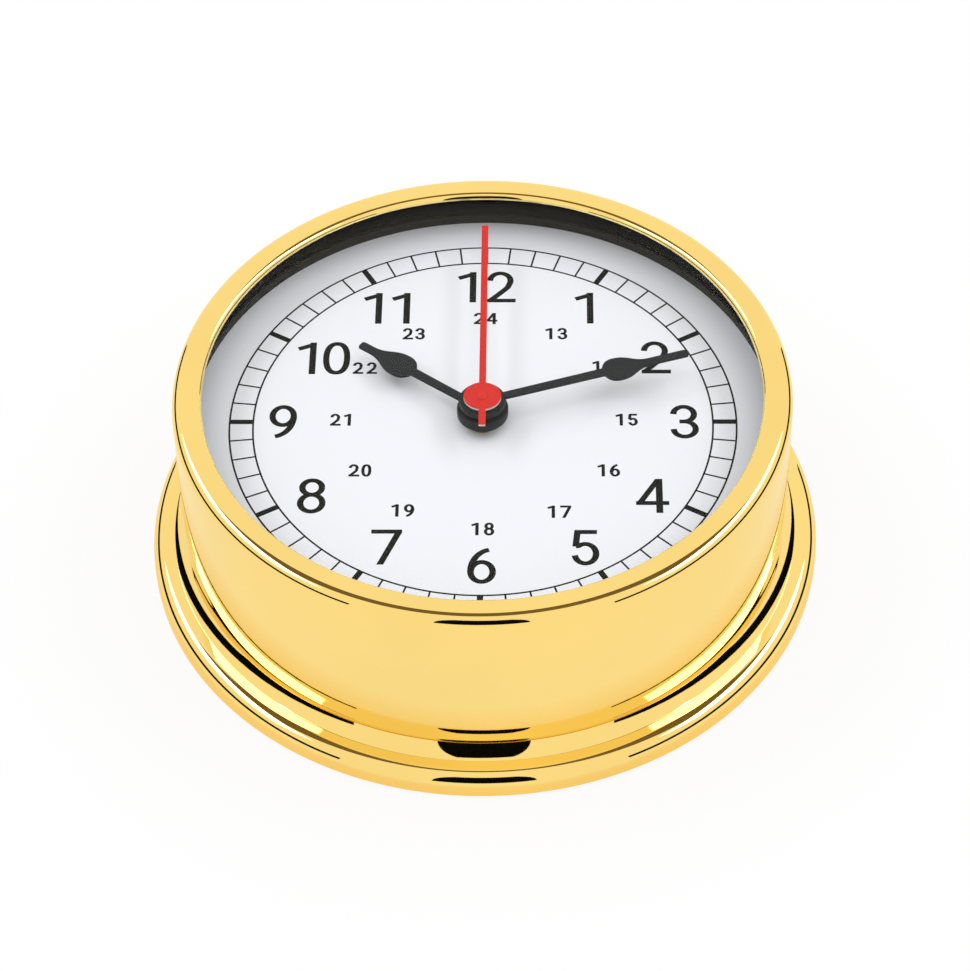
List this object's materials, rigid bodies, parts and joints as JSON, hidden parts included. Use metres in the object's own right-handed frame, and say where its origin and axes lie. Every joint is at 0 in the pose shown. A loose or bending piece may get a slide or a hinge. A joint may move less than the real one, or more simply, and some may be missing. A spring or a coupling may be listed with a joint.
{
  "type": "marine clock",
  "caption": "Round brass marine clock: turned base ring, plain drum, flat glass, white dial with hour numbers, spade hands, and a quartz movement with its gear train.",
  "frame": {"origin": "centre of the base ring's back face", "axes": "+Z along the drum's axis, out of the dial; +Y towards twelve o'clock; +X towards three o'clock"},
  "size_m": [0.12, 0.12, 0.0389],
  "materials": {
    "polished_brass": "mirror polished and lacquered",
    "plain_brass": "turned",
    "clear_glass": "clear",
    "seal_rubber": "matte",
    "black_plastic": "satin",
    "dial_white": "white lacquer, matte",
    "spring_steel": "plain",
    "pad_foam": "foam",
    "white_nylon": "satin",
    "board_green": "solder mask",
    "coil_copper": "enamelled wire",
    "battery_wrap": "plain printed wrap",
    "hand_paint": "matte dark grey",
    "red_paint": "satin red"
  },
  "bodies": {
    "base": {"base_flange": "polished_brass"},
    "drum": {"case_drum": "polished_brass", "glass_gasket": "seal_rubber", "glass": "clear_glass", "dial_spacer": "black_plastic", "dial": "dial_white", "retaining_ring": "spring_steel", "mounting_pad": "pad_foam", "centre_bush": "plain_brass", "movement_case": "black_plastic", "movement_back": "black_plastic", "train_bridge": "white_nylon", "circuit_board": "board_green", "driver_chip": "black_plastic", "quartz_crystal": "spring_steel", "stator": "spring_steel", "coil_core": "spring_steel", "coil_bobbin": "white_nylon", "coil_winding": "coil_copper", "motor_screw_1": "spring_steel", "motor_screw_2": "spring_steel", "contact_positive": "spring_steel", "contact_negative": "spring_steel"},
    "battery_cell": {"battery": "battery_wrap"},
    "minute_group": {"centre_wheel": "plain_brass", "cannon_pinion": "plain_brass", "minute_hand": "hand_paint"},
    "hour_group": {"hour_wheel": "white_nylon", "hour_hand": "hand_paint"},
    "second_group": {"seconds_wheel": "plain_brass", "second_hand": "red_paint", "second_hand_rivet": "red_paint"},
    "third_group": {"third_wheel": "white_nylon"},
    "transfer_group": {"transfer_wheel": "white_nylon"},
    "setting_group": {"setting_knob": "white_nylon"},
    "intermediate_group": {"intermediate_wheel": "white_nylon"},
    "rotor_group": {"rotor": "white_nylon"}
  },
  "joints": [
    {"name": "bayonet_turn", "type": "hinge", "parent": "base", "child": "drum", "pos_m": [0, 0, 0.008], "axis": [0, 0, 1], "range_deg": [0, 25]},
    {"name": "battery_slide", "type": "slide", "parent": "drum", "child": "battery_cell", "axis": [0, 0, -1], "range_m": [0, 0.0125]},
    {"name": "minute_hand_turn", "type": "hinge", "parent": "drum", "child": "minute_group", "pos_m": [0, 0, 0.03], "axis": [0, 0, -1], "continuous": true},
    {"name": "hour_hand_turn", "type": "hinge", "parent": "drum", "child": "hour_group", "pos_m": [0, 0, 0.03], "axis": [0, 0, -1], "continuous": true},
    {"name": "second_hand_turn", "type": "hinge", "parent": "drum", "child": "second_group", "pos_m": [0, 0, 0.03], "axis": [0, 0, -1], "continuous": true},
    {"name": "third_wheel_turn", "type": "hinge", "parent": "drum", "child": "third_group", "pos_m": [-0.00883, 0.0051, 0.0201], "axis": [0, 0, -1], "continuous": true},
    {"name": "transfer_wheel_turn", "type": "hinge", "parent": "drum", "child": "transfer_group", "pos_m": [0.00804, -0.00215, 0.0241], "axis": [0, 0, -1], "continuous": true},
    {"name": "setting_knob_turn", "type": "hinge", "parent": "drum", "child": "setting_group", "pos_m": [0.01595, -0.00472, 0.0191], "axis": [0, 0, -1], "continuous": true},
    {"name": "intermediate_wheel_turn", "type": "hinge", "parent": "drum", "child": "intermediate_group", "pos_m": [0.00505, 0.00505, 0.0171], "axis": [0, 0, -1], "continuous": true},
    {"name": "rotor_turn", "type": "hinge", "parent": "drum", "child": "rotor_group", "pos_m": [0.01063, 0.00708, 0.0171], "axis": [0, 0, -1], "continuous": true}
  ],
  "couplings": [
    {"joint": "hour_hand_turn", "follows": "minute_hand_turn", "ratio": 0.083333},
    {"joint": "second_hand_turn", "follows": "minute_hand_turn", "ratio": 60},
    {"joint": "third_wheel_turn", "follows": "minute_hand_turn", "ratio": -8},
    {"joint": "transfer_wheel_turn", "follows": "minute_hand_turn", "ratio": -0.33333},
    {"joint": "setting_knob_turn", "follows": "minute_hand_turn", "ratio": 1},
    {"joint": "intermediate_wheel_turn", "follows": "minute_hand_turn", "ratio": -360},
    {"joint": "rotor_turn", "follows": "minute_hand_turn", "ratio": 1800}
  ]
}
